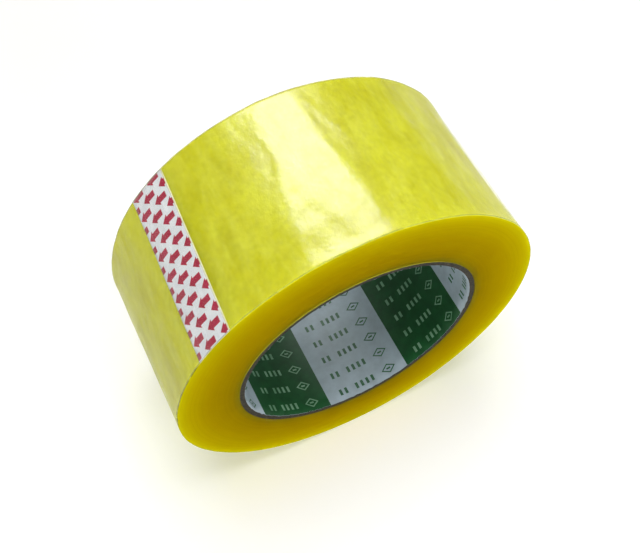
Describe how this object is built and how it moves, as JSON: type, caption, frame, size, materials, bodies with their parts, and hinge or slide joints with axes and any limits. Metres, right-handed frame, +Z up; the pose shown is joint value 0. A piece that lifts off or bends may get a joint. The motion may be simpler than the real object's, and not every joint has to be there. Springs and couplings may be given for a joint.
{
  "type": "adhesive tape roll",
  "caption": "Wide roll of clear yellow adhesive tape wound on a printed paper core, with a free end that lifts by its start tab and peels back.",
  "frame": {"origin": "on the roll's axis, at the middle of the bore's length", "axes": "+Y along the roll's axis, away from the side that the start tab's arrows are read from; +Z up, with the roll standing on its rim"},
  "size_m": [0.1191, 0.054, 0.1191],
  "materials": {
    "tape": "glossy translucent film in many turns",
    "tape_film": "glossy clear film",
    "tab_print": "white film with crimson arrows",
    "core_board": "plain grey-brown board",
    "liner_print": "coated paper printed in green and white bands"
  },
  "bodies": {
    "roll": {"core_liner": "liner_print", "core_ply_1": "core_board", "core_ply_2": "core_board", "core_ply_3": "core_board", "core_ply_4": "core_board", "core_ply_5": "core_board", "wound_tape": "tape"},
    "tail_1": {"tail_film_1": "tape_film"},
    "tail_2": {"tail_film_2": "tape_film"},
    "tail_3": {"tail_film_3": "tape_film"},
    "tail_4": {"tail_film_4": "tape_film"},
    "tail_5": {"tail_film_5": "tape_film"},
    "tail_6": {"tail_film_6": "tape_film"},
    "tail_7": {"tail_film_7": "tape_film"},
    "tail_8": {"tail_film_8": "tape_film"},
    "tape_end": {"end_film": "tape_film", "start_tab": "tab_print"}
  },
  "joints": [
    {"name": "peel", "type": "hinge", "parent": "roll", "child": "tail_1", "pos_m": [0.03376, 0, 0.04912], "axis": [0, 1, 0], "range_deg": [0, 60]},
    {"name": "tail_bend_2", "type": "hinge", "parent": "tail_1", "child": "tail_2", "pos_m": [0.02566, 0, 0.05379], "axis": [0, 1, 0], "range_deg": [0, 10]},
    {"name": "tail_bend_3", "type": "hinge", "parent": "tail_2", "child": "tail_3", "pos_m": [0.01693, 0, 0.05715], "axis": [0, 1, 0], "range_deg": [0, 10]},
    {"name": "tail_bend_4", "type": "hinge", "parent": "tail_3", "child": "tail_4", "pos_m": [0.00778, 0, 0.05909], "axis": [0, 1, 0], "range_deg": [0, 10]},
    {"name": "tail_bend_5", "type": "hinge", "parent": "tail_4", "child": "tail_5", "pos_m": [-0.00156, 0, 0.05958], "axis": [0, 1, 0], "range_deg": [0, 10]},
    {"name": "tail_bend_6", "type": "hinge", "parent": "tail_5", "child": "tail_6", "pos_m": [-0.01086, 0, 0.0586], "axis": [0, 1, 0], "range_deg": [0, 10]},
    {"name": "tail_bend_7", "type": "hinge", "parent": "tail_6", "child": "tail_7", "pos_m": [-0.01989, 0, 0.05618], "axis": [0, 1, 0], "range_deg": [0, 10]},
    {"name": "tail_bend_8", "type": "hinge", "parent": "tail_7", "child": "tail_8", "pos_m": [-0.02844, 0, 0.05238], "axis": [0, 1, 0], "range_deg": [0, 10]},
    {"name": "tab_lift", "type": "hinge", "parent": "tail_8", "child": "tape_end", "pos_m": [-0.03628, 0, 0.04728], "axis": [0, 1, 0], "range_deg": [0, 120]}
  ],
  "couplings": [
    {"joint": "tail_bend_2", "follows": "peel", "ratio": 0.15},
    {"joint": "tail_bend_3", "follows": "peel", "ratio": 0.15},
    {"joint": "tail_bend_4", "follows": "peel", "ratio": 0.15},
    {"joint": "tail_bend_5", "follows": "peel", "ratio": 0.15},
    {"joint": "tail_bend_6", "follows": "peel", "ratio": 0.15},
    {"joint": "tail_bend_7", "follows": "peel", "ratio": 0.15},
    {"joint": "tail_bend_8", "follows": "peel", "ratio": 0.15}
  ]
}
